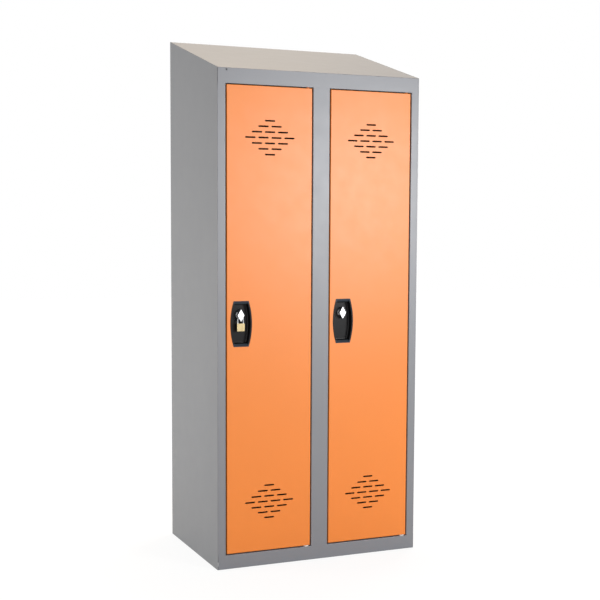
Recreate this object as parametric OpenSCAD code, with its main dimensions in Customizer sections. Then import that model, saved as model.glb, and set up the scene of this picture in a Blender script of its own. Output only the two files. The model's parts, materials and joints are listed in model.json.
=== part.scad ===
// Clothes locker of folded sheet steel: two tall compartments side by side under a sloping roof,
// each with a vented door on pivot pins and a turning latch in a moulded dish. A padlock hangs
// in the left latch. The front faces -Y, and the origin lies on the floor, under the middle of
// the locker's whole box.

/* [Cabinet] */
// Width over the side panels
width = 800; // [740:5:1000]
// Depth from the front frame's face to the back panel's rear face
depth = 565; // [450:5:650]
// Height of the front, up to the roof's front fold
front_h = 1800; // [1700:5:2000]
// How much higher the roof is at the back than at the front
roof_rise = 155; // [90:1:220]
// Thickness of the cabinet's sheet steel
sheet = 1; // [0.8:0.1:1.4]
// Inside radius of the folds in the sheet steel
fold_r = 1; // [0.6:0.1:1.6]
// Gap where two sheet pieces meet in one face
seam = 0.3; // [0.2:0.1:0.9]
// Gap between the side panels and the ends of the roof and the rails
corner_seam = 0.9; // [0.3:0.1:0.9]
// Width of the hidden flanges by which the panels are welded together
flange_w = 16; // [12:1:22]

/* [Front frame] */
// Width of the stile at each side
side_stile_w = 31; // [28:0.5:45]
// Width of the stile between the doors
centre_stile_w = 66; // [58:1:90]
// Height of the rail above the doors
top_rail_h = 55; // [40:0.5:80]
// Height of the rail below the doors
bottom_rail_h = 51.5; // [40:0.5:80]
// Width of the lip behind a door's lock side that the door closes against
stop_lip_w = 12; // [10:0.5:14]
// Radius of the small assembly hole near the left end of the top rail
rail_hole_r = 2.8; // [1:0.1:3.5]
// Distance of that hole below the roof's front fold
rail_hole_down = 7; // [6:0.5:20]
// Distance of that hole from the cabinet's left side
rail_hole_in = 35; // [20:1:100]

/* [Shelves and coat rails] */
// Height of the hat shelves' upper face
shelf_z = 1480; // [1250:5:1560]
// Height of the folded edge round a hat shelf
shelf_h = 22; // [18:1:32]
// How far the hat shelves start behind the front face
shelf_back = 36; // [34:1:70]
// Height of the base tray's folded edge
tray_h = 30; // [20:1:36]
// Radius of the coat rails
rail_r = 9; // [7:0.5:12]
// Distance of the coat rails' centre below the hat shelves
rail_down = 75; // [60:1:110]
// Wall of the rail sockets, and of the hooks' rings
ring_wall = 3; // [2:0.5:5]
// Depth of the rail sockets
socket_l = 14; // [8:1:24]
// Width of a coat hook along its rail
hook_w = 13; // [9:1:18]
// Distance of each coat hook from the middle of its rail
hook_x = 60; // [40:1:90]

/* [Doors] */
// Gap below and beside each door
door_gap = 4.5; // [3:0.5:5]
// Gap above each door
top_gap = 3.2; // [1.5:0.1:5]
// Thickness of the doors' sheet steel
door_sheet = 1; // [0.8:0.1:1.4]
// Depth of a door's folded edge
door_d = 20; // [19:0.5:24]
// Width of the lip folded inwards round a door's back
door_lip_w = 12; // [8:0.5:14]
// Space between a closed door's back and its stop lip
stop_gap = 2; // [1.2:0.1:4]
// Radius of the rubber buffers in that space
buffer_r = 4.5; // [3:0.5:5]
// Width of the stiffener's crown inside a door
stiffener_w = 26; // [16:1:50]
// Depth of the stiffener inside a door
stiffener_d = 13; // [8:0.5:15]
// Distance of the stiffener's ends from the door's top and bottom edges
stiffener_end = 330; // [280:5:600]

/* [Door vents] */
// Length of one vent slot
slot_l = 39; // [20:1:44]
// Height of one vent slot
slot_h = 5.8; // [2:0.2:8]
// Distance between slot centres along a row
slot_pitch = 50; // [46:1:60]
// Distance between rows
slot_row = 20; // [12:1:24]
// Slots in the longest row, with one fewer in each row above and below it
slot_most = 4; // [2:1:5]
// Distance of each diamond of slots from the door's nearer end
vent_in = 182; // [140:0.5:220]

/* [Hinge pins] */
// Radius of the pins
pin_r = 5; // [4:0.25:6]
// Distance of the pins' axis from the door's hinge edge
pin_in = 13; // [12:0.5:16]
// Distance of the pins' axis behind the door's face
pin_back = 11; // [10:0.5:11.5]
// Length of a pin outside its door
pin_l = 16; // [12:1:22]
// Radius of a pin's head inside the door
pin_head_r = 7.5; // [7:0.25:7.75]
// Radius of a lower bush's collar
collar_r = 10.5; // [9:0.25:10.75]
// Wall of a bush round its pin
bush_wall = 2.5; // [1.5:0.25:3]
// Radial play of a shaft that turns or slides in a hole
play = 0.08; // [0.02:0.01:0.1]
// Space kept between pieces that move past each other
clear = 0.3; // [0.2:0.05:0.5]

/* [Lock dish] */
// Width of the dish across its bowed sides
dish_w = 82; // [76:1:100]
// Width of the dish at its flat ends
dish_end_w = 57; // [46:1:66]
// Height of the dish
dish_h = 165; // [150:1:200]
// Distance of the dish from the door's lock edge
dish_in = 13; // [10:0.5:40]
// Height of the dish's centre above the floor
dish_z = 894; // [750:1:1000]
// How far the dish's rim stands out of the door
rim_t = 1.2; // [0.6:0.1:3]
// Width of the rim that lies on the door
rim_w = 3; // [2:0.25:5]
// Wall of the moulding
dish_wall = 2.2; // [1.5:0.1:3]
// Depth of the dish's floor behind the door's face
floor_d = 21.5; // [19.5:0.5:24]
// Height of the sloping band at each end of the hollow
band_h = 11; // [8:0.5:16]
// How deep the sloping bands run into the door
band_d = 5; // [2:0.5:9]
// How far the collar round the knob stands above the dish's floor
boss_h = 3; // [1:0.5:4]

/* [Latch] */
// Distance of the latch's axis above the dish's centre
latch_up = 30.5; // [20:0.5:40]
// Width of the knob's diamond between its sharp corners
knob_w = 25.5; // [22:0.5:30]
// Height of the knob's diamond between its sharp corners
knob_h = 45; // [40:0.5:52]
// Distance of the knob's front behind the door's face
knob_front = 0.6; // [0:0.1:2]
// Radius at which the diamond's corners are rounded
knob_round = 1.5; // [0.8:0.1:2]
// Radius of the padlock eye through the knob
eye_r = 4.8; // [4.6:0.1:5.4]
// Distance of the eye below the latch's axis
eye_down = 9; // [8:0.25:10]
// Distance of the eye behind the door's face
eye_back = 7.6; // [7.5:0.1:9]
// Radius of the spindle in the dish
spindle_r = 6; // [5:0.25:8]
// Length of the cam from the spindle's axis
cam_l = 55; // [53:0.5:57]
// Width of the cam
cam_w = 19; // [18:0.5:24]
// Thickness of the cam
cam_t = 3; // [2:0.25:4]
// Thickness of the spring washer between the dish and the cam
washer_t = 1.2; // [0.8:0.1:2]
// Radius of the nut over its corners
nut_r = 7.5; // [6.5:0.25:9]

/* [Padlock] */
// Width of the padlock's body
lock_w = 30; // [27:0.5:34]
// Height of the padlock's body
lock_h = 28; // [26:0.5:34]
// Thickness of the padlock's body
lock_t = 13; // [12:0.5:15]
// Distance of the body's top below the eye
lock_down = 20; // [17:0.5:22]
// Radius of the shackle's wire
wire_r = 2.4; // [2:0.1:2.6]
// Radius of the shackle's bow along the wire's middle
bow_r = 10.5; // [10.5:0.25:12]
// How far the shackle's short leg reaches into the body
short_leg = 6; // [4:0.5:7]
// How far the shackle's long leg reaches into the body
long_leg = 19; // [15:0.5:22]
// Radius of the key plug
plug_r = 5; // [4:0.25:6]

/* [Hidden] */

// Straight pieces that stand for one quarter of a fold's round
fold_steps = 4;
// Extra length of a cutting shape past the face that it cuts
past = 1;

// The cabinet's planes
left_x = -width / 2;
right_x = width / 2;
front_y = -(depth - rim_t) / 2;
back_y = front_y + depth;
weld_y = back_y - sheet;
inner_back_y = weld_y - sheet;
roof_rear_y = weld_y - seam;
roof_angle = atan(roof_rise / depth);
roof_drop = sheet / cos(roof_angle);

// The door openings and the doors
opening_w = (width - 2 * side_stile_w - centre_stile_w) / 2;
opening_z = bottom_rail_h;
opening_top = front_h - top_rail_h;
door_w = opening_w - 2 * door_gap;
door_h = opening_top - opening_z - door_gap - top_gap;
door_z = opening_z + door_gap;
door_top = door_z + door_h;
left_door = left_x + side_stile_w + door_gap;
right_door = centre_stile_w / 2 + door_gap;

// Where a door's stop lip faces it, and where the frame's returns end
stop_y = front_y + door_d + stop_gap;
return_y = stop_y + sheet;
pin_y = front_y + pin_back;

// The hollow compartments
shelf_y = front_y + shelf_back;
shelf_w = width / 2 - 1.5 * sheet;
shelf_d = inner_back_y - fold_r - shelf_y;
rail_y = (shelf_y + inner_back_y) / 2;
rail_z = shelf_z - rail_down;

// The dish, from the latch's side of the door
dish_x = dish_in + dish_w / 2;
dish_bow = (dish_w - dish_end_w) / 2;
dish_r = (dish_bow * dish_bow + dish_h * dish_h / 4) / (2 * dish_bow);
dish_d = floor_d + dish_wall;
knob_r = knob_h / 2 - knob_round * (1 / sin(atan(knob_w / knob_h)) - 1);
boss_r = knob_r + clear + dish_wall;
latch_z = dish_z + latch_up;

// The latch's stack behind the dish, as depths behind the door's face
washer_y = dish_d + clear;
cam_y = washer_y + washer_t;
nut_y = cam_y + cam_t;
nut_h = 6;
thread_r = 4;
flange_r = 13;
flange_h = 2;

// The padlock hangs on the eye
eye_z = latch_z - eye_down;
wire_y = front_y + eye_back;
bow_up = 1.6;
lock_top = eye_z - lock_down;

// Folded sheet: a profile follows the outer face of the metal, which lies to the right of the way
function unit(v) = v / norm(v);
function left_of(v) = [-v[1], v[0]];
function turned(v, a) = [v[0] * cos(a) - v[1] * sin(a), v[0] * sin(a) + v[1] * cos(a)];
function turn_angle(u, w) = atan2(u[0] * w[1] - u[1] * w[0], u * w);
// One fold at b on the way from a to c, as points of the face with their outward normals
function fold(a, b, c, r, t) =
    let (
        u = unit(b - a),
        angle = turn_angle(u, unit(c - b)),
        s = sign(angle),
        face_r = s > 0 ? r : r + t,
        centre = b - u * face_r * tan(abs(angle) / 2) + left_of(u) * s * face_r
    )
    [
        for (k = [0:fold_steps])
        let (n = turned(left_of(u), angle * k / fold_steps))
        [centre - n * s * face_r, n]
    ];
function face_line(p, r, t) =
    let (last = len(p) - 1)
    concat(
        [[p[0], left_of(unit(p[1] - p[0]))]],
        [for (i = [1:last - 1]) each fold(p[i - 1], p[i], p[i + 1], r, t)],
        [[p[last], left_of(unit(p[last] - p[last - 1]))]]
    );
// Corners of a closed outline, each rounded with radius r
function rounded(p, r) = [
    for (i = [0:len(p) - 1])
    each [
        for (q = fold(p[(i + len(p) - 1) % len(p)], p[i], p[(i + 1) % len(p)], r, 0)) q[0]
    ]
];

module folded(p, t = sheet, r = fold_r) {
    line = face_line(p, r, t);
    last = len(line) - 1;
    polygon(concat(
        [for (q = line) q[0]],
        [for (i = [last:-1:0]) line[i][0] - line[i][1] * t]
    ));
}

// Stands an outline drawn as [x, z] between the depths y0 and y1
module slab(y0, y1) {
    translate([0, y1, 0]) rotate([90, 0, 0]) linear_extrude(y1 - y0) children();
}

// Runs an outline drawn as [y, z] from x0 to x1
module run(x0, x1) {
    translate([x0, 0, 0]) rotate([90, 0, 90]) linear_extrude(x1 - x0) children();
}

// Outer shape of a shallow pressed pan whose face lies at y = 0
module pan_form(w, h, d, r) {
    side = [[0, d], [0, 0], [w, 0], [w, d]];
    edge = [[d, 0], [0, 0], [0, h], [d, h]];
    intersection() {
        linear_extrude(h) polygon(concat([side[0]], front_corners(side, r), [side[3]]));
        run(0, w) polygon(concat([edge[0]], front_corners(edge, r), [edge[3]]));
    }
}
function front_corners(p, r) = [
    for (i = [1, 2]) each [for (q = fold(p[i - 1], p[i], p[i + 1], r, 0)) q[0]]
];

// Pressed pan with its face at y = 0, folded edges of depth d and a lip round its back
module pan(w, h, d, lip, t) {
    difference() {
        pan_form(w, h, d, fold_r + t);
        translate([t, t, t]) pan_form(w - 2 * t, h - 2 * t, d - 2 * t, fold_r);
        translate([lip, d - t - past, lip]) cube([w - 2 * lip, t + 2 * past, h - 2 * lip]);
    }
}

// Height of the roof's outer face over a depth y
function roof_z(y) = front_h + (y - front_y) * tan(roof_angle);

// Side view of what stands under the roof: lowered by drop from its outer face
module under_roof(y0, z0, drop) {
    polygon([
        [y0, z0],
        [back_y, z0],
        [back_y, roof_z(back_y) - drop],
        [y0, roof_z(y0) - drop]
    ]);
}

// Keeps the part of a side panel's fold that fits the rails and the roof.
// inner_x and outer_x bound its flanges.
module side_panel(line, wall_x, inner_x, outer_x) {
    color("#9b9da1") {
        difference() {
            intersection() {
                linear_extrude(roof_z(back_y)) folded(line);
                run(left_x, right_x) under_roof(front_y, 0, 0);
            }
            translate([inner_x, front_y - past, -past])
                cube([outer_x - inner_x, return_y - front_y + 2 * past, opening_z + seam + past]);
            translate([inner_x, front_y - past, opening_top - seam])
                cube([outer_x - inner_x, return_y - front_y + 2 * past, front_h]);
            difference() {
                run(inner_x, outer_x) under_roof(front_y - past, opening_top, -past);
                run(inner_x - past, outer_x + past)
                    under_roof(front_y - 2 * past, 0, roof_drop + clear);
            }
        }
        translate([wall_x, return_y + seam, 0])
            cube([flange_w, inner_back_y - return_y - seam, sheet]);
    }
}

module left_side_panel() {
    line = [
        [left_x + side_stile_w + stop_lip_w, stop_y],
        [left_x + side_stile_w, stop_y],
        [left_x + side_stile_w, front_y],
        [left_x, front_y],
        [left_x, weld_y],
        [left_x + flange_w, weld_y]
    ];
    side_panel(line, left_x, left_x + sheet, left_x + side_stile_w + 2 * stop_lip_w);
}

module right_side_panel() {
    line = [
        [right_x - flange_w, weld_y],
        [right_x, weld_y],
        [right_x, front_y],
        [right_x - side_stile_w, front_y],
        [right_x - side_stile_w, return_y],
        [right_x - side_stile_w + stop_lip_w, return_y]
    ];
    side_panel(line, right_x - flange_w, right_x - side_stile_w - past, right_x - sheet);
}

// Distance of the wall fixing holes below the back panel's top, and between them
fixing_down = 200;
fixing_apart = 600;
fixing_r = 4;
module back_panel() {
    color("#94969a") difference() {
        translate([left_x + seam, weld_y, 0])
            cube([width - 2 * seam, sheet, roof_z(back_y) - roof_drop]);
        for (s = [-1, 1])
            translate([s * fixing_apart / 2, weld_y - past, roof_z(back_y) - fixing_down])
                rotate([-90, 0, 0]) cylinder(r = fixing_r, h = sheet + 2 * past, $fn = 32);
    }
}

// The roof sheet turns down at the front into the rail above the doors
module roof_panel() {
    end_x = width / 2 - sheet - corner_seam;
    rear_z = roof_z(roof_rear_y);
    color("#c3bbb3") difference() {
        union() {
            run(-end_x, end_x) folded([
                [return_y, opening_top + flange_w],
                [return_y, opening_top],
                [front_y, opening_top],
                [front_y, front_h],
                [roof_rear_y, rear_z],
                [roof_rear_y, rear_z - flange_w]
            ]);
            for (s = [-1, 1])
                roof_side_flange(s * (end_x - sheet / 2));
        }
        for (x = [left_door, right_door])
            translate([x + door_w - pin_in, pin_y, opening_top - past])
                cylinder(r = pin_r + play + bush_wall, h = sheet + 2 * past, $fn = 48);
        translate([left_x + rail_hole_in, front_y - past, front_h - rail_hole_down])
            rotate([-90, 0, 0]) cylinder(r = rail_hole_r, h = sheet + 2 * past, $fn = 32);
        for (s = [-1, 1])
            translate([
                s * (end_x - flange_w / 2),
                roof_rear_y,
                rear_z - roof_drop - flange_w / 2 - clear
            ])
                cube([flange_w + 4 * clear, 4 * sheet, flange_w], center = true);
    }
}

// Edge of the roof sheet turned down inside a side panel
module roof_side_flange(x) {
    y0 = return_y + flange_w;
    y1 = inner_back_y - flange_w;
    run(x - sheet / 2, x + sheet / 2) polygon([
        [y0, roof_z(y0) - sheet / 2],
        [y0 + flange_w / 2, roof_z(y0 + flange_w / 2) - flange_w],
        [y1 - flange_w / 2, roof_z(y1 - flange_w / 2) - flange_w],
        [y1, roof_z(y1) - sheet / 2]
    ]);
}

module bottom_rail() {
    end_x = width / 2 - sheet - corner_seam;
    color("#8f9195") difference() {
        run(-end_x, end_x) folded([
            [return_y - sheet, 0],
            [front_y, 0],
            [front_y, opening_z],
            [return_y, opening_z],
            [return_y, opening_z - flange_w]
        ]);
        for (x = [left_door, right_door])
            translate([x + door_w - pin_in, pin_y, opening_z - sheet - past])
                cylinder(r = pin_r + play + bush_wall, h = sheet + 2 * past, $fn = 48);
    }
}

module base_tray() {
    tray_d = inner_back_y - fold_r - return_y;
    color("#909296") translate([left_x + sheet, return_y, opening_z]) rotate([-90, 0, 0])
        pan(width - 2 * sheet, tray_d, tray_h, flange_w, sheet);
}

module centre_stile() {
    half = centre_stile_w / 2;
    color("#9b9da1") translate([0, 0, opening_z + seam])
        linear_extrude(opening_top - opening_z - 2 * seam) folded([
            [half + stop_lip_w, stop_y],
            [half, stop_y],
            [half, front_y],
            [-half, front_y],
            [-half, return_y],
            [-half + stop_lip_w, return_y]
        ]);
}

module centre_partition() {
    color("#94969a") intersection() {
        linear_extrude(roof_z(back_y)) folded([
            [flange_w, front_y + sheet],
            [-sheet / 2, front_y + sheet],
            [-sheet / 2, weld_y],
            [flange_w, weld_y]
        ], r = fold_r);
        run(-flange_w, 2 * flange_w) union() {
            difference() {
                under_roof(return_y + sheet, opening_z, roof_drop + clear);
                translate([return_y - past, opening_top - seam])
                    square([sheet + past + clear, flange_w]);
                translate([roof_rear_y - sheet - fold_r, roof_z(roof_rear_y) - flange_w - clear])
                    square([flange_w, 2 * flange_w]);
            }
            translate([front_y, opening_z + seam])
                square([depth / 4, opening_top - opening_z - 2 * seam]);
        }
    }
}

// The left and right compartments start at these places
left_shelf = left_x + sheet;
right_shelf = sheet / 2;
module hat_shelf(x) {
    color("#94969a") translate([x, shelf_y, shelf_z]) rotate([-90, 0, 0])
        pan(shelf_w, shelf_d, shelf_h, flange_w, sheet);
}

module coat_rail(x) {
    color("silver") translate([x + clear, rail_y, rail_z]) rotate([0, 90, 0])
        difference() {
            cylinder(r = rail_r, h = shelf_w - 2 * clear, $fn = 48);
            translate([0, 0, -past])
                cylinder(r = rail_r - sheet, h = shelf_w + 2 * past, $fn = 48);
        }
}

// One socket per rail end: a round cup on a flange that is welded to the wall
module rail_sockets(x) {
    color("dimgray") for (s = [0, 1])
        translate([x + s * shelf_w, rail_y, rail_z]) rotate([0, 90 - 180 * s, 0])
            rotate_extrude($fn = 48) polygon([
                [rail_r + play, 0],
                [rail_r + 2 * ring_wall + play, 0],
                [rail_r + 2 * ring_wall + play, ring_wall / 2],
                [rail_r + ring_wall + play, ring_wall],
                [rail_r + ring_wall + play, socket_l],
                [rail_r + play, socket_l]
            ]);
}

// A ring on the rail that carries two hooks, one to the front and one to the back
stem = 22;
hook_reach = 24;
hook_tip = 16;
hook_bar = 5;
module coat_hook(x) {
    ring_r = rail_r + ring_wall + play;
    low = ring_r + stem;
    color("#2b2b2d") translate([x, rail_y, rail_z]) difference() {
        union() {
            run(-hook_w / 2, hook_w / 2) circle(ring_r, $fn = 48);
            for (s = [0, 1])
                mirror([0, s, 0]) run(-hook_w / 2, hook_w / 2) folded([
                    [hook_bar / 2, -rail_r - ring_wall / 2],
                    [hook_bar / 2, -low - hook_bar],
                    [-hook_reach, -low - hook_bar],
                    [-hook_reach, -low + hook_tip]
                ], hook_bar, hook_bar);
        }
        run(-hook_w, hook_w) circle(rail_r + play, $fn = 48);
    }
}

// Bush pressed into a rail, with a collar of radius r and height h on the rail's upper side
module bush(r, h, body_h) {
    rotate_extrude($fn = 48) polygon([
        [pin_r + play, -body_h],
        [pin_r + bush_wall, -body_h],
        [pin_r + bush_wall, 0],
        [r, 0],
        [r, h - sheet / 2],
        [r - sheet / 2, h],
        [pin_r + play, h]
    ]);
}

module bottom_bushes() {
    color("white") for (x = [left_door, right_door])
        translate([x + door_w - pin_in, pin_y, opening_z])
            bush(collar_r, door_gap - clear, pin_l / 2);
}

module top_bushes() {
    color("white") for (x = [left_door, right_door])
        translate([x + door_w - pin_in, pin_y, opening_top + sheet])
            bush(pin_back - sheet - fold_r - clear, pin_l / 3, sheet);
}

// Rubber buffers on the stop lips, near the ends and at mid height
buffer_end = 120;
module door_buffers() {
    lip_x = stop_lip_w / 2 + sheet;
    middle = opening_z + (opening_top - opening_z) / 2;
    color("#1c1c1c") for (x = [left_door, right_door])
        for (z = [opening_z + buffer_end, middle, opening_top - buffer_end])
            translate([x - door_gap + lip_x, stop_y, z]) rotate([90, 0, 0])
                cylinder(r = buffer_r, h = stop_gap - clear, $fn = 32);
}

// One diamond of vent slots, drawn round its centre
module vent_slots() {
    for (row = [1 - slot_most:slot_most - 1])
        for (k = [0:slot_most - 1 - abs(row)])
            translate([(k - (slot_most - 1 - abs(row)) / 2) * slot_pitch, row * slot_row])
                vent_slot();
}

module vent_slot() {
    straight = slot_l - slot_h;
    square([straight, slot_h], center = true);
    for (s = [-1, 1])
        translate([s * straight / 2, 0]) circle(slot_h / 2, $fn = 24);
}

module door_panel(x) {
    color("#f59a5c") difference() {
        translate([x, front_y, door_z]) pan(door_w, door_h, door_d, door_lip_w, door_sheet);
        translate([x + door_w / 2, front_y, 0]) slab(-past, door_sheet + past)
            for (z = [door_z + vent_in, door_top - vent_in])
                translate([0, z]) vent_slots();
        translate([x + dish_x, front_y, dish_z]) slab(-past, door_sheet + past)
            dish_outline(rim_w - clear, rim_w - clear);
        translate([x + door_w - pin_in, pin_y, door_z - past])
            cylinder(r = pin_r, h = door_h + 2 * past, $fn = 48);
    }
}

// Hat section welded to the inside of the door's face
module door_stiffener(x) {
    base_y = front_y + 2 * door_sheet;
    half = stiffener_w / 2;
    color("#d98850") translate([x + door_w / 2, 0, door_z + stiffener_end])
        linear_extrude(door_h - 2 * stiffener_end) folded([
            [-half - flange_w, base_y],
            [-half, base_y],
            [-half, base_y + stiffener_d],
            [half, base_y + stiffener_d],
            [half, base_y],
            [half + flange_w, base_y]
        ], door_sheet);
}

// Pin whose head lies inside the door's edge, drawn with the head's seat at z = 0
module hinge_pin() {
    head_h = 4;
    tip = 1.5;
    rotate_extrude($fn = 48) polygon([
        [0, head_h],
        [pin_head_r, head_h],
        [pin_head_r, 0],
        [pin_r, 0],
        [pin_r, tip - door_sheet - pin_l],
        [pin_r - tip, -door_sheet - pin_l],
        [0, -door_sheet - pin_l]
    ]);
}

module hinge_pins(x) {
    color("#d98850") translate([x + door_w - pin_in, pin_y, 0]) {
        translate([0, 0, door_z + door_sheet]) hinge_pin();
        translate([0, 0, door_top - door_sheet]) rotate([180, 0, 0]) hinge_pin();
    }
}

// Outline of the dish as [x, z], drawn in by side_in at its bows and by end_in at its flat ends
module dish_outline(side_in, end_in) {
    intersection() {
        translate([dish_w / 2 - dish_r, 0]) circle(dish_r - side_in, $fn = 360);
        translate([dish_r - dish_w / 2, 0]) circle(dish_r - side_in, $fn = 360);
        square([dish_w + dish_end_w, dish_h - 2 * end_in], center = true);
    }
}
// Half the dish's width at a height z from its centre
function dish_half(z) = dish_w / 2 - dish_r + sqrt(dish_r * dish_r - z * z);

module lock_dish(x) {
    lug_z = dish_h / 3;
    lug_h = 8;
    color("#2f2f33") translate([x + dish_x, front_y, dish_z]) difference() {
        union() {
            difference() {
                union() {
                    slab(-rim_t, 0) dish_outline(0, 0);
                    slab(-rim_t, band_d + dish_wall) dish_outline(rim_w, rim_w);
                    slab(-rim_t, dish_d) dish_outline(rim_w, band_h - dish_wall);
                }
                slab(-rim_t - past, floor_d)
                    dish_outline(rim_w + dish_wall, band_h);
                for (s = [-1, 1])
                    end_band(s);
            }
            for (s = [-1, 1])
                for (z = [-lug_z, lug_z - lug_h])
                    translate([s * (dish_half(abs(z + lug_h / 2)) - rim_w), 0, z])
                        snap_lug(lug_h);
            translate([0, 0, latch_up]) rotate([-90, 0, 0])
                translate([0, 0, floor_d - boss_h])
                    cylinder(r = boss_r, h = boss_h + dish_wall / 2, $fn = 64);
        }
        translate([0, floor_d - boss_h - past, latch_up]) rotate([-90, 0, 0])
            cylinder(r = boss_r - dish_wall, h = boss_h + past, $fn = 64);
        translate([0, floor_d - past, latch_up]) rotate([-90, 0, 0])
            cylinder(r = spindle_r + play, h = dish_wall + 2 * past, $fn = 48);
    }
}

// The sloping band between the rim and the hollow, at the upper end for s = 1
module end_band(s) {
    outer_z = dish_h / 2 - rim_w;
    inner_z = dish_h / 2 - band_h - past;
    slope = (band_d + rim_t) / (band_h - rim_w);
    intersection() {
        run(-dish_w, dish_w) polygon([
            [-rim_t - past, s * (outer_z + past / slope)],
            [band_d + past * slope, s * inner_z],
            [-rim_t - past, s * inner_z]
        ]);
        slab(-rim_t - past, band_d + 2 * past) dish_outline(rim_w + dish_wall, 0);
    }
}

// Lug that snaps behind the retainer
module snap_lug(h) {
    lug = 1.6;
    y0 = door_sheet + 2 * clear + retainer_t;
    linear_extrude(h) polygon([[-lug, y0], [lug, y0], [0, y0 + 3 * lug], [-lug, y0 + 3 * lug]]);
    mirror([1, 0, 0]) linear_extrude(h) polygon([[0, y0], [lug, y0], [lug, y0 + lug], [0, y0 + lug]]);
}

// Frame that clamps the dish's rim to the door from behind
retainer_t = 2;
module dish_retainer(x) {
    color("#3a3a3e") translate([x + dish_x, front_y, dish_z]) difference() {
        slab(door_sheet, door_sheet + retainer_t) dish_outline(-rim_w / 2, -rim_w / 2);
        slab(door_sheet - past, door_sheet + retainer_t + past)
            dish_outline(rim_w - clear, rim_w - clear);
    }
}

// Round shape round the latch's axis between two depths behind the door's face
module turned_part(r, y0, y1, faces = 48) {
    translate([0, y0, 0]) rotate([-90, 0, 0]) cylinder(r = r, h = y1 - y0, $fn = faces);
}

// Shank with two flats, which takes the cam along
flat_half = 3.5;
shank_r = 5;
module shank(y0, y1, ease) {
    intersection() {
        turned_part(shank_r + ease, y0, y1);
        translate([-flat_half - ease, y0 - past, -spindle_r])
            cube([2 * (flat_half + ease), y1 - y0 + 2 * past, 2 * spindle_r]);
    }
}

module latch_knob(x) {
    base_y = floor_d - clear - flange_h;
    color("gainsboro") translate([x + dish_x, front_y, latch_z]) difference() {
        union() {
            slab(knob_front, base_y + flange_h / 2) polygon(rounded([
                [knob_w / 2, 0],
                [0, -knob_h / 2],
                [-knob_w / 2, 0],
                [0, knob_h / 2]
            ], knob_round));
            turned_part(flange_r, base_y, base_y + flange_h);
            turned_part(spindle_r, base_y, washer_y);
            shank(washer_y - past, nut_y, 0);
            turned_part(thread_r, nut_y, nut_y + nut_h + 2);
        }
        translate([0, eye_back, -eye_down]) rotate([0, 90, 0])
            cylinder(r = eye_r, h = knob_w + 2 * past, center = true, $fn = 48);
    }
}

// Dished spring washer that keeps the latch where it is turned
module spring_washer(x) {
    color("silver") translate([x + dish_x, front_y + washer_y, latch_z]) rotate([-90, 0, 0])
        rotate_extrude($fn = 48) polygon([
            [shank_r + play, washer_t / 2],
            [flange_r - 2, 0],
            [flange_r, 0],
            [flange_r, washer_t / 4],
            [shank_r + play + 1, washer_t],
            [shank_r + play, washer_t]
        ]);
}

// Cam that turns behind the stop lip. It hangs down at rest, clear of the lip.
module latch_cam(x) {
    half = cam_w / 2;
    tip = 4;
    color("silver") translate([x + dish_x, front_y, latch_z]) difference() {
        union() {
            slab(cam_y, nut_y) polygon([
                [half, 0],
                [half, -cam_l / 2],
                [half - 2, tip - cam_l],
                [half - 2 - tip, -cam_l],
                [2 + tip - half, -cam_l],
                [2 - half, tip - cam_l],
                [-half, -cam_l / 2],
                [-half, 0]
            ]);
            turned_part(half, cam_y, nut_y);
        }
        shank(cam_y - past, nut_y + past, play);
    }
}

module latch_nut(x) {
    color("silver") translate([x + dish_x, front_y, latch_z]) difference() {
        turned_part(nut_r, nut_y, nut_y + nut_h, 6);
        turned_part(thread_r + play, nut_y - past, nut_y + nut_h + past);
    }
}

// The padlock, drawn round the latch's eye
module at_eye() {
    translate([left_door + dish_x, wire_y, eye_z]) children();
}

module padlock_shackle() {
    leg_top = bow_up - bow_r;
    color("lightgray") at_eye() {
        translate([0, 0, leg_top]) rotate([90, 0, 0])
            rotate_extrude(angle = 180, $fn = 64) translate([bow_r, 0]) circle(wire_r, $fn = 32);
        shackle_leg(-bow_r, -lock_down - long_leg, leg_top);
        shackle_leg(bow_r, -lock_down - short_leg, leg_top);
    }
}

module shackle_leg(x, low, high) {
    translate([x, 0, low]) cylinder(r = wire_r, h = high - low, $fn = 32);
}

module padlock_body() {
    half = lock_w / 2;
    round = 2.5;
    rest = 1;
    color("#d9b65c") at_eye() translate([0, 0, -lock_down]) difference() {
        translate([0, 0, -lock_h]) linear_extrude(lock_h) polygon(rounded([
            [half, -lock_t / 2],
            [-half, -lock_t / 2],
            [-half, lock_t / 2],
            [half, lock_t / 2]
        ], round));
        translate([-bow_r, 0, -long_leg - rest])
            cylinder(r = wire_r + play, h = lock_h, $fn = 32);
        translate([bow_r, 0, -short_leg - rest])
            cylinder(r = wire_r + play, h = lock_h, $fn = 32);
        translate([0, 0, -lock_h - past]) cylinder(r = plug_r + play, h = plug_l + past, $fn = 48);
    }
}

// Key plug in the underside of the padlock's body, with its keyway
plug_l = 16;
module padlock_plug() {
    key_w = 1.4;
    key_h = 7;
    color("#c9a548") at_eye() translate([0, 0, -lock_down - lock_h]) difference() {
        cylinder(r = plug_r, h = plug_l - clear, $fn = 48);
        translate([-key_w / 2, -key_h / 2, -past]) cube([key_w, key_h, plug_l - 2]);
    }
}

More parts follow.
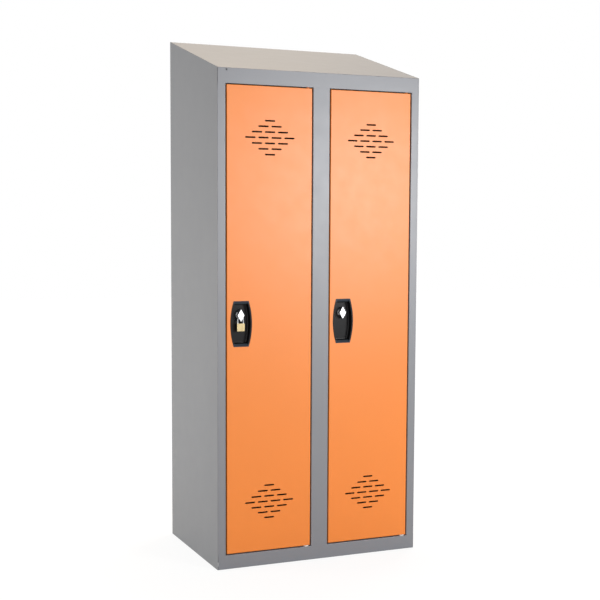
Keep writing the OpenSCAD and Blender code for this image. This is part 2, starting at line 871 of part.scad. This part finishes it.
left_side_panel();
right_side_panel();
back_panel();
roof_panel();
bottom_rail();
base_tray();
centre_stile();
centre_partition();
hat_shelf(left_shelf);  // left_hat_shelf
hat_shelf(right_shelf);  // right_hat_shelf
coat_rail(left_shelf);  // left_coat_rail
coat_rail(right_shelf);  // right_coat_rail
rail_sockets(left_shelf);  // left_rail_sockets
rail_sockets(right_shelf);  // right_rail_sockets
coat_hook(left_shelf + shelf_w / 2 - hook_x);  // left_coat_hook_a
coat_hook(left_shelf + shelf_w / 2 + hook_x);  // left_coat_hook_b
coat_hook(right_shelf + shelf_w / 2 - hook_x);  // right_coat_hook_a
coat_hook(right_shelf + shelf_w / 2 + hook_x);  // right_coat_hook_b
bottom_bushes();
top_bushes();
door_buffers();
door_panel(left_door);  // left_door_panel
door_stiffener(left_door);  // left_door_stiffener
hinge_pins(left_door);  // left_hinge_pins
lock_dish(left_door);  // left_lock_dish
dish_retainer(left_door);  // left_dish_retainer
latch_knob(left_door);  // left_latch_knob
spring_washer(left_door);  // left_spring_washer
latch_cam(left_door);  // left_latch_cam
latch_nut(left_door);  // left_latch_nut
door_panel(right_door);  // right_door_panel
door_stiffener(right_door);  // right_door_stiffener
hinge_pins(right_door);  // right_hinge_pins
lock_dish(right_door);  // right_lock_dish
dish_retainer(right_door);  // right_dish_retainer
latch_knob(right_door);  // right_latch_knob
spring_washer(right_door);  // right_spring_washer
latch_cam(right_door);  // right_latch_cam
latch_nut(right_door);  // right_latch_nut
padlock_shackle();
padlock_body();
padlock_plug();
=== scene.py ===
# %% [markdown]
# # A clothes locker of folded sheet steel
# The locker has two tall compartments under a roof that slopes to the front. Each has an orange,
# vented door with a turning latch in a black moulded dish, and a small padlock hangs in the left
# latch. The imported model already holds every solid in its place, in metres. This lesson dresses
# it: it gives each piece its finish, models the parts again with soft edges, fills the seams of
# the frame, and sets up a studio.

import json
import math

import bmesh
import bpy
from mathutils import Matrix, Vector


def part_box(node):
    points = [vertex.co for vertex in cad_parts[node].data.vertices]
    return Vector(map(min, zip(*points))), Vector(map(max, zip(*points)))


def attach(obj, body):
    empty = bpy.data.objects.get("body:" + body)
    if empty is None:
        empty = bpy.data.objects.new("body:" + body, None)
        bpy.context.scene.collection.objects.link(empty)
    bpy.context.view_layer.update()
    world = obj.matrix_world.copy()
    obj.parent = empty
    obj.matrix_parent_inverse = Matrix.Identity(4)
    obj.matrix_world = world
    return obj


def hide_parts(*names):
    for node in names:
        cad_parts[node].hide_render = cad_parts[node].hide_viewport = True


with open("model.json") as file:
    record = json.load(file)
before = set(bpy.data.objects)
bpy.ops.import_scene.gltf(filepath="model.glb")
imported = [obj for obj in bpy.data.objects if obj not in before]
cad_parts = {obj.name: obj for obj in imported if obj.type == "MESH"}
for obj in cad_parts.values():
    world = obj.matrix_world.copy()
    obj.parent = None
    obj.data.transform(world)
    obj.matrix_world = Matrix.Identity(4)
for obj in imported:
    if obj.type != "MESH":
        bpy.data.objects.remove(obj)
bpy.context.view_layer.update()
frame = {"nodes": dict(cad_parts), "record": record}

# %% [markdown]
# ## The camera
# The photograph was taken from the left, a little above the latches. The place of the camera was
# found by fitting the outline, the gaps round the doors, the vents and the dishes to a 600 x 600
# image. The camera looks along its own -Z axis, so its rotation is built from three directions:
# right, up and back. A small lens shift puts the locker where the photograph has it.

# %% Place the camera
CAMERA_PLACE = Vector((-1.8097, -4.4027, 1.2807))
CAMERA_TURN = -24.176
CAMERA_TILT = 5.077
CAMERA_ROLL = 0.3905
FOCAL_PIXELS = 1222.97
CENTRE_PIXELS = (330.29, 325.15)
IMAGE_SIZE = 600
SENSOR_WIDTH = 36


def look_rotation(turn, tilt, roll):
    """Rotation of a camera whose back points at that turn and tilt, rolled about its view."""
    a, e, r = (math.radians(v) for v in (turn, tilt, roll))
    back = Vector((math.sin(a) * math.cos(e), -math.cos(a) * math.cos(e), math.sin(e)))
    right = Vector((0, 0, 1)).cross(back).normalized()
    level = Matrix((right, back.cross(right), back)).transposed()
    return level @ Matrix.Rotation(r, 3, "Z")


camera_data = bpy.data.cameras.new("studio_camera")
camera_data.sensor_width = SENSOR_WIDTH
camera_data.lens = SENSOR_WIDTH * FOCAL_PIXELS / IMAGE_SIZE
camera_data.shift_x = (IMAGE_SIZE / 2 - CENTRE_PIXELS[0]) / IMAGE_SIZE
camera_data.shift_y = (CENTRE_PIXELS[1] - IMAGE_SIZE / 2) / IMAGE_SIZE
camera_data.clip_end = 60
camera = bpy.data.objects.new("studio_camera", camera_data)
camera.matrix_world = Matrix.Translation(CAMERA_PLACE) @ look_rotation(
    CAMERA_TURN, CAMERA_TILT, CAMERA_ROLL
).to_4x4()
bpy.context.collection.objects.link(camera)
bpy.context.scene.camera = camera
print("lens", round(camera_data.lens, 1), "mm, shift", round(camera_data.shift_x, 3))

# %% [markdown]
# ## Building finishes from nodes
# Every finish here is a Principled shader with a few textures in front of it. The first two
# helpers add a node with its sockets set, and start a material. The others make noise, spread it
# over a range, turn it to a colour and turn it to a bump. The noise reads Object coordinates,
# which on these pieces are metres in the locker's own frame, so a pattern has its real size and
# stays on its piece when a door turns.

# %% Helpers for materials
NOISE_MIDDLE = (0.3, 0.7)


def add_node(nodes, kind, **sockets):
    """Adds a node and sets its input sockets, whose names are written with underscores."""
    node = nodes.new("ShaderNode" + kind)
    for name, value in sockets.items():
        node.inputs[name.replace("_", " ")].default_value = value
    return node


def start_material(name, **sockets):
    """A new material, its node tree and its Principled shader."""
    made = bpy.data.materials.new(name)
    made.use_nodes = True
    shader = made.node_tree.nodes["Principled BSDF"]
    for socket, value in sockets.items():
        shader.inputs[socket.replace("_", " ")].default_value = value
    return made, made.node_tree, shader


def object_noise(tree, scale, detail=2.0, stretch=(1, 1, 1)):
    """Noise on Object coordinates, with scale in waves per metre."""
    place = add_node(tree.nodes, "TexCoord")
    size = add_node(tree.nodes, "Mapping", Scale=stretch)
    noise = add_node(tree.nodes, "TexNoise", Scale=scale, Detail=detail)
    tree.links.new(place.outputs["Object"], size.inputs["Vector"])
    tree.links.new(size.outputs["Vector"], noise.inputs["Vector"])
    return noise.outputs["Fac"]


def remap(tree, value, low, high):
    """Spreads the middle of a noise over the range from low to high."""
    least, most = NOISE_MIDDLE
    node = add_node(
        tree.nodes, "MapRange", From_Min=least, From_Max=most, To_Min=low, To_Max=high
    )
    tree.links.new(value, node.inputs["Value"])
    return node.outputs["Result"]


def tint(tree, value, dark, light):
    """Runs from one colour to another as a value goes from 0 to 1."""
    node = add_node(tree.nodes, "Mix")
    node.data_type = "RGBA"
    colours = [s for s in node.inputs if s.type == "RGBA"]
    colours[0].default_value = (*dark, 1)
    colours[1].default_value = (*light, 1)
    tree.links.new(value, node.inputs["Factor"])
    return next(s for s in node.outputs if s.type == "RGBA")


def relief(tree, shader, height, strength, depth):
    """Turns a height into a bump of that depth in metres."""
    bump = add_node(tree.nodes, "Bump", Strength=strength, Distance=depth)
    tree.links.new(height, bump.inputs["Height"])
    tree.links.new(bump.outputs["Normal"], shader.inputs["Normal"])


# %% [markdown]
# ## Powder coat
# The doors and the cabinet are powder coated. The powder melts on the steel in an oven and sets
# to a satin skin with a faint orange-peel texture, a few millimetres from bump to bump. Over a
# whole panel the film is never quite even, so the colour and the gloss drift by a hair. Slow
# noise gives the drift and fast noise the peel, which as a mesh would need millions of faces.

# %% Powder coat
FILM_WAVES = 5
FILM_GLOSS_WAVES = 18
FILM_GLOSS_DRIFT = 0.012
PEEL_WAVES = 420
PEEL_STRENGTH = 0.10
PEEL_DEPTH = 0.0002


def powder_coat(name, colour, drift, roughness, metal=0.0):
    made, tree, shader = start_material(name, Metallic=metal, IOR=1.5)
    cloud = object_noise(tree, FILM_WAVES, detail=3)
    dark = tuple(c * (1 - drift) for c in colour)
    light = tuple(min(1, c * (1 + drift)) for c in colour)
    tree.links.new(tint(tree, remap(tree, cloud, 0, 1), dark, light), shader.inputs["Base Color"])
    gloss = remap(
        tree,
        object_noise(tree, FILM_GLOSS_WAVES),
        roughness - FILM_GLOSS_DRIFT,
        roughness + FILM_GLOSS_DRIFT,
    )
    tree.links.new(gloss, shader.inputs["Roughness"])
    peel = object_noise(tree, PEEL_WAVES, detail=1)
    relief(tree, shader, peel, PEEL_STRENGTH, PEEL_DEPTH)
    return made


orange_coat = powder_coat("orange_coat", (0.825, 0.228, 0.0265), 0.010, 0.395)
grey_coat = powder_coat("grey_coat", (0.209, 0.216, 0.236), 0.012, 0.40, 0.05)
inner_coat = powder_coat("inner_coat", (0.203, 0.209, 0.227), 0.015, 0.44, 0.05)
print("powder coats:", orange_coat.name, grey_coat.name, inner_coat.name)

# %% [markdown]
# ## Black mouldings, nylon and rubber
# The dish, its retainer, the coat hooks and the rail sockets are black plastic from a mould with
# a finely spark-eroded grain. The nylon of the bushes is milky and a little glossy. The rubber of
# the buffers is as black as the mouldings but dull. One recipe makes all three, with a bump of
# about half a millimetre from grain to grain.

# %% Plastics and rubber
PLASTIC_IOR = 1.49
MOULD_WAVES = 60
MOULD_GLOSS_WAVES = 300
MOULD_GLOSS_DRIFT = 0.05
GRAIN_WAVES = 1800
GRAIN_DEPTH = 0.0001


def moulded_plastic(name, dark, light, roughness, grain, shine=0.5):
    made, tree, shader = start_material(name, IOR=PLASTIC_IOR, Specular_IOR_Level=shine)
    cloud = object_noise(tree, MOULD_WAVES, detail=3)
    tree.links.new(tint(tree, remap(tree, cloud, 0, 1), dark, light), shader.inputs["Base Color"])
    gloss = remap(
        tree,
        object_noise(tree, MOULD_GLOSS_WAVES),
        roughness - MOULD_GLOSS_DRIFT,
        roughness + MOULD_GLOSS_DRIFT,
    )
    tree.links.new(gloss, shader.inputs["Roughness"])
    relief(tree, shader, object_noise(tree, GRAIN_WAVES), grain, GRAIN_DEPTH)
    return made


black_moulding = moulded_plastic(
    "black_moulding", (0.012, 0.012, 0.013), (0.017, 0.017, 0.019), 0.36, 0.30, 0.25
)
white_nylon = moulded_plastic("white_nylon", (0.72, 0.72, 0.69), (0.78, 0.78, 0.75), 0.40, 0.10)
buffer_rubber = moulded_plastic(
    "buffer_rubber", (0.012, 0.012, 0.012), (0.020, 0.020, 0.020), 0.70, 0.35
)
print("plastics:", black_moulding.name, white_nylon.name, buffer_rubber.name)

# %% [markdown]
# The lock dish has a second tone, and that tone is painted light. The sloping bands at its two
# ends are painted paler and bluer than its smooth floor, a painted sheen for the light their
# slopes catch.
# A node measures the height above or below the dish's middle and turns to the painted sheen where
# the bands begin.

# %% Dish plastic with a painted sheen on its end bands
DISH_BAND = 0.0105
DISH_FLOOR = (0.0065, 0.0065, 0.0075)
# The colour of the end bands is a painted sheen, paler and bluer than the floor.
DISH_BAND_SHEEN = (0.030, 0.039, 0.052)
DISH_GRAIN = 0.30
dish_low, dish_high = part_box("left_lock_dish")
dish_moulding, dish_tree, dish_shader = start_material(
    "dish_moulding", IOR=PLASTIC_IOR, Roughness=0.30, Specular_IOR_Level=0.15
)
dish_place = add_node(dish_tree.nodes, "TexCoord")
dish_axes = add_node(dish_tree.nodes, "SeparateXYZ")
from_middle = add_node(dish_tree.nodes, "Math")
from_middle.operation = "SUBTRACT"
from_middle.inputs[1].default_value = (dish_low[2] + dish_high[2]) / 2
distance = add_node(dish_tree.nodes, "Math")
distance.operation = "ABSOLUTE"
# A mask of the sloping end bands, where the painted sheen goes.
band_sheen_mask = add_node(dish_tree.nodes, "Math")
band_sheen_mask.operation = "GREATER_THAN"
band_sheen_mask.inputs[1].default_value = (dish_high[2] - dish_low[2]) / 2 - DISH_BAND
dish_tree.links.new(dish_place.outputs["Object"], dish_axes.inputs[0])
dish_tree.links.new(dish_axes.outputs["Z"], from_middle.inputs[0])
dish_tree.links.new(from_middle.outputs[0], distance.inputs[0])
dish_tree.links.new(distance.outputs[0], band_sheen_mask.inputs[0])
# Within the mask the base colour turns to the painted sheen, which stands in for light on the
# slopes.
dish_tree.links.new(
    tint(dish_tree, band_sheen_mask.outputs[0], DISH_FLOOR, DISH_BAND_SHEEN), dish_shader.inputs["Base Color"]
)
relief(dish_tree, dish_shader, object_noise(dish_tree, GRAIN_WAVES), DISH_GRAIN, GRAIN_DEPTH)
print("dish bands", DISH_BAND * 1000, "mm high")

# %% [markdown]
# ## Metals
# The padlock's shackle is bright chrome: almost a mirror, with a trace of polishing marks. Chrome
# gives back only about half of the light, so its colour is a middle grey and the white studio
# does the rest. The knob is satin chrome, which blurs what it reflects. The cams, nuts, washers
# and coat rails are zinc plated and show soft clouds. The padlock's body is brass with the fine
# upright lines of a sanding belt: noise that is squeezed across and drawn out upwards.

# %% Metals
METAL_WAVES = 90
MARK_WAVES = 900
MARK_DEPTH = 0.00005
UPRIGHT_LINES = (4, 4, 0.15)


def plated_metal(name, dark, light, low, high, marks, stretch=(1, 1, 1)):
    made, tree, shader = start_material(name, Metallic=1.0)
    cloud = object_noise(tree, METAL_WAVES, detail=3, stretch=stretch)
    tree.links.new(tint(tree, remap(tree, cloud, 0, 1), dark, light), shader.inputs["Base Color"])
    tree.links.new(remap(tree, cloud, low, high), shader.inputs["Roughness"])
    relief(tree, shader, object_noise(tree, MARK_WAVES, stretch=stretch), marks, MARK_DEPTH)
    return made


bright_chrome = plated_metal(
    "bright_chrome", (0.46, 0.47, 0.48), (0.52, 0.53, 0.54), 0.14, 0.22, 0.05
)
satin_chrome = plated_metal(
    "satin_chrome", (0.45, 0.46, 0.47), (0.51, 0.51, 0.52), 0.34, 0.42, 0.08
)
zinc_plate = plated_metal("zinc_plate", (0.50, 0.52, 0.54), (0.62, 0.63, 0.64), 0.28, 0.42, 0.2)
sanded_brass = plated_metal(
    "sanded_brass", (0.54, 0.425, 0.225), (0.62, 0.50, 0.285), 0.14, 0.22, 0.2, UPRIGHT_LINES
)
print("metals:", bright_chrome.name, satin_chrome.name, zinc_plate.name, sanded_brass.name)

# %% [markdown]
# ## A finish for every solid
# The record names a material slot for each solid. One table joins the slots to the finishes, so
# no solid is left out.

# %% Dress the solids
FINISH = {
    "grey_paint": grey_coat,
    "grey_inside": inner_coat,
    "orange_paint": orange_coat,
    "black_plastic": black_moulding,
    "white_nylon": white_nylon,
    "rubber": buffer_rubber,
    "bright_chrome": bright_chrome,
    "zinc_steel": zinc_plate,
    "brass": sanded_brass,
}
slot_of = {part["node"]: part["material_slot"] for part in frame["record"]["subparts"]}
carried = frame["record"]["behaviour"]["bodies"]
body_of = {node: body for body, nodes in carried.items() for node in nodes}
for name, solid in frame["nodes"].items():
    solid.data.materials.clear()
    solid.data.materials.append(FINISH[slot_of[name]])
print(len(frame["nodes"]), "solids dressed")

# %% [markdown]
# ## Soft edges
# A moulding, a casting or a machined block never has a knife edge: the tool leaves a small
# radius, and that radius is what catches the light. The solids have sharp edges, so each part is
# modelled again with a bevel. Every bevel here has a circular profile and rounds only edges
# that turn sharply, so both are set in one place.

# %% Helpers for bevels
SHARP_TURN = math.radians(28)


def turns_sharply(edge):
    """Whether the two faces at an edge meet at a clear angle."""
    return edge.calc_face_angle(0) > SHARP_TURN


def bevel_edges(mesh, edges, radius, segments):
    """Rounds the edges with that radius and number of steps."""
    bmesh.ops.bevel(
        mesh,
        geom=edges,
        affect="EDGES",
        offset=radius,
        offset_type="OFFSET",
        segments=segments,
        profile=0.5,
        material=-1,
        clamp_overlap=True,
    )


# %% [markdown]
# ## A cove for a moulded floor
# A moulded dish has no sharp corner inside: its floor runs up into the walls in a cove, which
# helps the plastic to flow and shows as a faint curved line. The helper picks the outline of the
# floor by its height and leaves out the collar round the knob. A wider bevel along a few edges is
# simpler than building the curve by hand.

# %% Helper for the floor of a dish
LEVEL_ERROR = 1e-5
COVE_SEGMENTS = 5


def round_floor(mesh, floor_y, hub, hub_radius, radius):
    """A cove along the outline of a hollow's floor, but not round the collar at its hub."""
    outline = []
    for edge in mesh.edges:
        middle = (edge.verts[0].co + edge.verts[1].co) / 2
        level = all(abs(v.co.y - floor_y) < LEVEL_ERROR for v in edge.verts)
        from_hub = math.hypot(middle.x - hub[0], middle.z - hub[1])
        if level and from_hub > hub_radius and turns_sharply(edge):
            outline.append(edge)
    bevel_edges(mesh, outline, radius, COVE_SEGMENTS)
    print("cove along", len(outline), "edges")


# %% [markdown]
# ## A soft copy of a solid
# The way is quick: copy the solid's mesh, merge its loose triangles, dissolve the lines inside
# its flat faces, and bevel every edge that turns sharply. Where two rounds meet, the bevel can
# leave a sliver, so slivers are dissolved. A weighted normal modifier then keeps the large faces
# flat. The copy rides on the solid's body and takes its place.

# %% Helper for soft edges
MERGE_DISTANCE = 1e-6
FLAT_TURN = math.radians(0.5)
SLIVER = 2e-6
SHADED_TURN = math.radians(60)


def soft_copy(node, name, body, radius, segments=2, finish=None, cove=None):
    """A copy of a solid with a small round along its sharp edges, which takes its place."""
    solid = frame["nodes"][node]
    mesh = bmesh.new()
    mesh.from_mesh(solid.data)
    bmesh.ops.remove_doubles(mesh, verts=mesh.verts, dist=MERGE_DISTANCE)
    bmesh.ops.dissolve_limit(mesh, angle_limit=FLAT_TURN, verts=mesh.verts, edges=mesh.edges)
    if cove:
        round_floor(mesh, *cove)
    corners = [e for e in mesh.edges if e.is_manifold and turns_sharply(e)]
    bevel_edges(mesh, corners, radius, segments)
    bmesh.ops.remove_doubles(mesh, verts=mesh.verts, dist=SLIVER)
    bmesh.ops.dissolve_degenerate(mesh, edges=mesh.edges, dist=SLIVER)
    data = bpy.data.meshes.new(name)
    mesh.to_mesh(data)
    mesh.free()
    data.shade_smooth()
    data.set_sharp_from_angle(angle=SHADED_TURN)
    data.materials.append(finish or FINISH[slot_of[node]])
    piece = bpy.data.objects.new(name, data)
    bpy.context.collection.objects.link(piece)
    piece.modifiers.new("flat_faces", "WEIGHTED_NORMAL").keep_sharp = True
    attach(piece, body)
    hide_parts(node)
    print(name, "has", len(data.polygons), "faces,", len(corners), "edges rounded")


# %% [markdown]
# ## Dishes, knobs and padlock
# The black dish lets a hand reach the latch, so its floor lies well behind the door's face. The
# knob is die cast and then plated, and a coat hook is moulded to hang clothes on, so both have
# softer edges than the padlock's sawn and sanded body. Each radius is in metres.

# %% Round the small parts
DISH_DEPTH = 0.0215
COLLAR_RADIUS = 0.027
COVE_RADIUS = 0.005
DISH_ROUND = 0.0006
KNOB_ROUND = 0.0008
HOOK_ROUND = 0.0009
PADLOCK_ROUND = 0.0007
PLUG_ROUND = 0.0002
door_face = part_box("left_door_panel")[0][1]
for side in ("left", "right"):
    knob_low, knob_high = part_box(f"{side}_latch_knob")
    hub = ((knob_low[0] + knob_high[0]) / 2, (knob_low[2] + knob_high[2]) / 2)
    soft_copy(
        f"{side}_lock_dish",
        f"{side}_dish_moulding",
        f"{side}_door",
        DISH_ROUND,
        finish=dish_moulding,
        cove=(door_face + DISH_DEPTH, hub, COLLAR_RADIUS, COVE_RADIUS),
    )
    soft_copy(
        f"{side}_latch_knob",
        f"{side}_cast_knob",
        f"{side}_latch",
        KNOB_ROUND,
        segments=3,
        finish=satin_chrome,
    )
    for hook in "ab":
        soft_copy(
            f"{side}_coat_hook_{hook}",
            f"{side}_hook_moulding_{hook}",
            f"{side}_hook_{hook}",
            HOOK_ROUND,
        )
soft_copy("padlock_body", "padlock_block", "padlock", PADLOCK_ROUND, segments=3)
soft_copy("padlock_plug", "padlock_barrel", "key_plug", PLUG_ROUND)

# %% [markdown]
# ## Folded sheets
# The panels in view are copied in the same way. Their folds turn in small steps, which smooth
# shading joins into one round. The cuts and the vent slots get a round of 0.2 mm, as on sheared
# steel under paint, and one step is enough for it.

# %% Soften the sheets
CUT_EDGE = 0.0002
for node in ("left_side_panel", "right_side_panel", "roof_panel", "bottom_rail", "centre_stile"):
    soft_copy(node, f"{node}_sheet", "cabinet", CUT_EDGE, segments=1)
for side in ("left", "right"):
    soft_copy(f"{side}_door_panel", f"{side}_door_sheet", f"{side}_door", CUT_EDGE, segments=1)

# %% [markdown]
# ## Parts behind the doors
# The shelves, coat rails, hinge pins and cams show when a door is open, so they are copied too.
# Each round suits how the part is made: a hair on sheared steel, and more on what is turned,
# pressed or moulded. The spring washers stay as they are, because the cams hide them.

# %% Round the inner parts
SMALL_ROUND = 0.0003
MIDDLE_ROUND = 0.0004
SOCKET_ROUND = 0.0005
INNER_ROUNDS = {
    "base_tray": CUT_EDGE,
    "back_panel": CUT_EDGE,
    "centre_partition": CUT_EDGE,
    "top_bushes": SMALL_ROUND,
    "bottom_bushes": SMALL_ROUND,
    "door_buffers": MIDDLE_ROUND,
    "padlock_shackle": SMALL_ROUND,
}
for side in ("left", "right"):
    INNER_ROUNDS[f"{side}_hat_shelf"] = CUT_EDGE
    INNER_ROUNDS[f"{side}_door_stiffener"] = CUT_EDGE
    INNER_ROUNDS[f"{side}_coat_rail"] = SMALL_ROUND
    INNER_ROUNDS[f"{side}_rail_sockets"] = SOCKET_ROUND
    INNER_ROUNDS[f"{side}_hinge_pins"] = MIDDLE_ROUND
    INNER_ROUNDS[f"{side}_dish_retainer"] = SMALL_ROUND
    INNER_ROUNDS[f"{side}_latch_cam"] = SMALL_ROUND
    INNER_ROUNDS[f"{side}_latch_nut"] = MIDDLE_ROUND
for node, inner_round in INNER_ROUNDS.items():
    soft_copy(node, f"{node}_rounded", body_of[node], inner_round)

# %% [markdown]
# ## Filled seams
# Each stile meets the rails with its cut end, where the rail's edge is folded. The groove
# between them is filled and painted over, so the frame's face looks like one piece. A filler is
# a small triangle extruded to a prism, with its front flush with the frame.

# %% Fill the seams of the frame
FOLD_OUTSIDE = 0.002
stile_low, stile_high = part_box("centre_stile")
rail_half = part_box("bottom_rail")[1][0]
left_low, left_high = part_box("left_door_panel")
right_low, right_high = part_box("right_door_panel")
door_gap = stile_low[0] - left_high[0]
seam_runs = {
    "left": (-rail_half + FOLD_OUTSIDE / 2, left_low[0] - door_gap - FOLD_OUTSIDE),
    "middle": (stile_low[0] + FOLD_OUTSIDE, right_low[0] - door_gap - FOLD_OUTSIDE),
    "right": (right_high[0] + door_gap + FOLD_OUTSIDE, rail_half - FOLD_OUTSIDE / 2),
}
face_y = stile_low[1]
rail_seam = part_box("centre_stile")[0][2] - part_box("bottom_rail")[1][2]
fill_height = FOLD_OUTSIDE + rail_seam
for place, (start, stop) in seam_runs.items():
    for end, edge_z, way in (("top", stile_high[2], 1), ("bottom", stile_low[2], -1)):
        corners = (
            (face_y, edge_z),
            (face_y, edge_z + way * fill_height),
            (face_y + FOLD_OUTSIDE, edge_z),
        )
        mesh = bmesh.new()
        end_face = mesh.faces.new([mesh.verts.new((start, y, z)) for y, z in corners])
        grown = bmesh.ops.extrude_face_region(mesh, geom=[end_face], use_keep_orig=True)
        moved = [v for v in grown["geom"] if isinstance(v, bmesh.types.BMVert)]
        bmesh.ops.translate(mesh, verts=moved, vec=(stop - start, 0, 0))
        bmesh.ops.recalc_face_normals(mesh, faces=mesh.faces)
        filler_data = bpy.data.meshes.new(f"{place}_{end}_filler")
        mesh.to_mesh(filler_data)
        mesh.free()
        filler_data.materials.append(grey_coat)
        filler = bpy.data.objects.new(filler_data.name, filler_data)
        bpy.context.collection.objects.link(filler)
        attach(filler, "cabinet")
print("six fillers", round(fill_height * 1000, 2), "mm high")

# %% [markdown]
# ## Floor and background
# The studio is white. The floor is a pale sheet that runs on behind the locker. The camera sees
# it lit up to white. Near the locker this holds only in part, so the soft shadow stays, and
# further out it holds in full, so no horizon shows. Gloss and metal are shown the same white,
# and every other ray sees the sheet as it is.

# %% Floor
FLOOR_HALF = 14
FLOOR_GREY = 0.82
PAPER_STRENGTH = 1.07
NEAR_SHARE = 0.84
NEAR, FAR = 0.8, 1.8
floor_mesh = bmesh.new()
bmesh.ops.create_grid(floor_mesh, x_segments=1, y_segments=1, size=FLOOR_HALF)
floor_data = bpy.data.meshes.new("studio_floor")
floor_mesh.to_mesh(floor_data)
floor_mesh.free()
studio_floor = bpy.data.objects.new("studio_floor", floor_data)
bpy.context.collection.objects.link(studio_floor)
floor_paint, floor_tree, floor_shader = start_material("studio_floor", Roughness=0.8)
floor_shader.inputs["Base Color"].default_value = (FLOOR_GREY, FLOOR_GREY, FLOOR_GREY, 1)
floor_shader.inputs["Specular IOR Level"].default_value = 0.1
lit_paper = add_node(floor_tree.nodes, "Emission", Strength=PAPER_STRENGTH)
seen_by = add_node(floor_tree.nodes, "LightPath")
either = add_node(floor_tree.nodes, "Math")
either.operation = "MAXIMUM"
floor_place = add_node(floor_tree.nodes, "TexCoord")
from_locker = add_node(floor_tree.nodes, "VectorMath")
from_locker.operation = "LENGTH"
glow = add_node(
    floor_tree.nodes, "MapRange", From_Min=NEAR, From_Max=FAR, To_Min=NEAR_SHARE, To_Max=1.0
)
share = add_node(floor_tree.nodes, "Math")
share.operation = "MULTIPLY"
paper_mix = add_node(floor_tree.nodes, "MixShader")
floor_out = floor_tree.nodes["Material Output"]
floor_tree.links.new(seen_by.outputs["Is Camera Ray"], either.inputs[0])
floor_tree.links.new(seen_by.outputs["Is Glossy Ray"], either.inputs[1])
floor_tree.links.new(either.outputs[0], share.inputs[0])
floor_tree.links.new(floor_place.outputs["Object"], from_locker.inputs[0])
floor_tree.links.new(from_locker.outputs["Value"], glow.inputs["Value"])
floor_tree.links.new(glow.outputs["Result"], share.inputs[1])
floor_tree.links.new(share.outputs[0], paper_mix.inputs[0])
floor_tree.links.new(floor_shader.outputs[0], paper_mix.inputs[1])
floor_tree.links.new(lit_paper.outputs[0], paper_mix.inputs[2])
floor_tree.links.new(paper_mix.outputs[0], floor_out.inputs["Surface"])
floor_data.materials.append(floor_paint)
print("floor", floor_data.name, "is", 2 * FLOOR_HALF, "m wide")

# %% [markdown]
# ## World
# The world is plain white where the camera or a reflection meets it, and a dimmer even light for
# everything else. A white studio wall would do the same, but it would have to be very large.

# %% World
AMBIENT = 0.24
WHITE = (1, 1, 1, 1)
world = bpy.data.worlds.new("studio_world")
world.use_nodes = True
bpy.context.scene.world = world
sky = world.node_tree
sky.nodes.clear()
sky_out = sky.nodes.new("ShaderNodeOutputWorld")
shown = add_node(sky.nodes, "Background", Color=WHITE, Strength=1.0)
given = add_node(sky.nodes, "Background", Color=WHITE, Strength=AMBIENT)
sky_path = add_node(sky.nodes, "LightPath")
glass_or_gloss = add_node(sky.nodes, "Math")
glass_or_gloss.operation = "MAXIMUM"
any_view = add_node(sky.nodes, "Math")
any_view.operation = "MAXIMUM"
sky_mix = sky.nodes.new("ShaderNodeMixShader")
sky.links.new(sky_path.outputs["Is Glossy Ray"], glass_or_gloss.inputs[0])
sky.links.new(sky_path.outputs["Is Transmission Ray"], glass_or_gloss.inputs[1])
sky.links.new(glass_or_gloss.outputs[0], any_view.inputs[0])
sky.links.new(sky_path.outputs["Is Camera Ray"], any_view.inputs[1])
sky.links.new(any_view.outputs[0], sky_mix.inputs[0])
sky.links.new(given.outputs[0], sky_mix.inputs[1])
sky.links.new(shown.outputs[0], sky_mix.inputs[2])
sky.links.new(sky_mix.outputs[0], sky_out.inputs["Surface"])
bpy.context.scene.view_settings.view_transform = "Standard"
print("ambient light", AMBIENT)

# %% [markdown]
# ## Lamps
# Five softboxes light the locker. The key stands to the right of the camera. Its blurred
# reflection is the pale sheen high on the right door, and a weaker fill stands near the camera.
# One on the left keeps the side panel a step darker than the front. A warm one overhead colours
# the sloping roof. The last one, behind on the right, shows only when the locker is turned.


# %% Lamps
def softbox(name, place, aim, width, height, power, colour=(1, 1, 1)):
    lamp = bpy.data.lights.new(name, "AREA")
    lamp.shape = "RECTANGLE"
    lamp.size, lamp.size_y = width, height
    lamp.energy = power
    lamp.color = colour
    holder = bpy.data.objects.new(name, lamp)
    holder.location = place
    holder.rotation_euler = (Vector(aim) - Vector(place)).to_track_quat("-Z", "Y").to_euler()
    bpy.context.collection.objects.link(holder)
    print(name, power, "W at", place)


softbox("key_softbox", (1.84, -4.0, 1.52), (0, 0, 1.2), 1.05, 0.8, 103)
softbox("fill_softbox", (-1.9, -4.2, 1.2), (0, 0, 1.0), 1.0, 1.0, 26)
softbox("left_softbox", (-2.1, 0.45, 1.0), (-0.4, 0, 0.98), 0.8, 0.8, 18, (1.0, 0.96, 0.87))
softbox("top_softbox", (0.2, 0.6, 4.2), (0, 0, 1.9), 1.4, 1.4, 90, (1.0, 0.79, 0.55))
softbox("back_softbox", (3.0, 2.6, 1.8), (0, 0, 1.0), 1.8, 2.0, 80)
